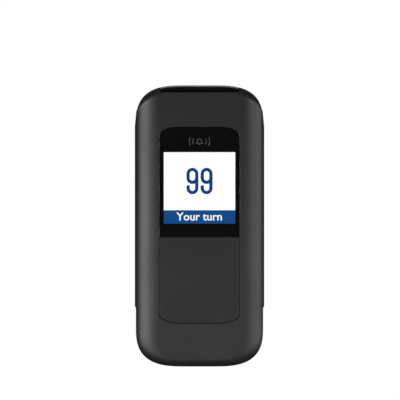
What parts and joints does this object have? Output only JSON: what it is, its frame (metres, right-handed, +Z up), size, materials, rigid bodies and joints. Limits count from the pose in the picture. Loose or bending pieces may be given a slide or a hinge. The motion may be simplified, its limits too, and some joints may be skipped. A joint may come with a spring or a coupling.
{
  "type": "guest pager",
  "caption": "Hand-held wireless guest pager: rounded black case with a flush square colour display, a large press key under it and a light bar across the top end.",
  "frame": {"origin": "middle of the bottom end, halfway through the width and the depth", "axes": "+Z up the pager towards the light bar, -Y out of the display, +X to the right as the display is read"},
  "size_m": [0.05, 0.02, 0.1086],
  "materials": {
    "casing": "fine spark-textured black ABS",
    "key_plastic": "smooth satin black",
    "gloss_black": "polished black acrylic",
    "diffuser": "milky translucent polycarbonate",
    "seal_rubber": "matte silicone",
    "screw_steel": "black zinc plated steel",
    "contact_gold": "gold plated",
    "spring_steel": "stainless spring steel",
    "label_film": "blank satin polyester label",
    "adhesive": "double-sided tape",
    "foam": "closed-cell foam",
    "lcd_glass": "display glass",
    "white_plastic": "moulded nylon",
    "black_plastic": "moulded epoxy",
    "flex_film": "polyimide film",
    "board_laminate": "green solder mask",
    "tinned_steel": "tin plated",
    "weight_metal": "sintered tungsten alloy",
    "cell_wrap": "pouch cell film",
    "wire_red": "silicone insulated lead",
    "wire_black": "silicone insulated lead"
  },
  "bodies": {
    "case": {"front_casing": "casing", "rear_casing": "casing", "case_seal": "seal_rubber", "display_window": "gloss_black", "window_adhesive": "adhesive", "switch_base": "black_plastic", "top_trim": "gloss_black", "light_bar": "diffuser", "case_screw_1": "screw_steel", "case_screw_2": "screw_steel", "case_screw_3": "screw_steel", "case_screw_4": "screw_steel", "charge_contact_left": "contact_gold", "charge_contact_right": "contact_gold", "contact_spring_left": "spring_steel", "contact_spring_right": "spring_steel", "label_plate": "label_film", "lcd_gasket": "foam", "lcd_panel": "lcd_glass", "lcd_backlight": "white_plastic", "display_foam": "foam", "display_flex": "flex_film", "flex_connector": "white_plastic", "main_board": "board_laminate", "processor_chip": "black_plastic", "radio_shield": "tinned_steel", "radio_chip": "black_plastic", "antenna_coil": "contact_gold", "alert_led_1": "white_plastic", "alert_led_2": "white_plastic", "alert_led_3": "white_plastic", "alert_led_4": "white_plastic", "sounder": "black_plastic", "sounder_mesh": "foam", "motor_can": "tinned_steel", "motor_boot": "seal_rubber", "battery_cell": "cell_wrap", "battery_tape": "adhesive", "battery_socket": "white_plastic", "battery_plug": "white_plastic", "battery_lead_red": "wire_red", "battery_lead_black": "wire_black"},
    "key": {"press_key": "key_plastic", "switch_stem": "white_plastic"},
    "rotor": {"motor_shaft": "spring_steel", "motor_weight": "weight_metal"}
  },
  "joints": [
    {"name": "key_press", "type": "slide", "parent": "case", "child": "key", "axis": [0, 1, 0], "range_m": [0, 0.0005], "stiffness_N_per_m": 800, "springref_m": -0.0005},
    {"name": "motor_spin", "type": "hinge", "parent": "case", "child": "rotor", "pos_m": [-0.0067, 0.0026, 0.0915], "axis": [1, 0, 0], "continuous": true}
  ]
}
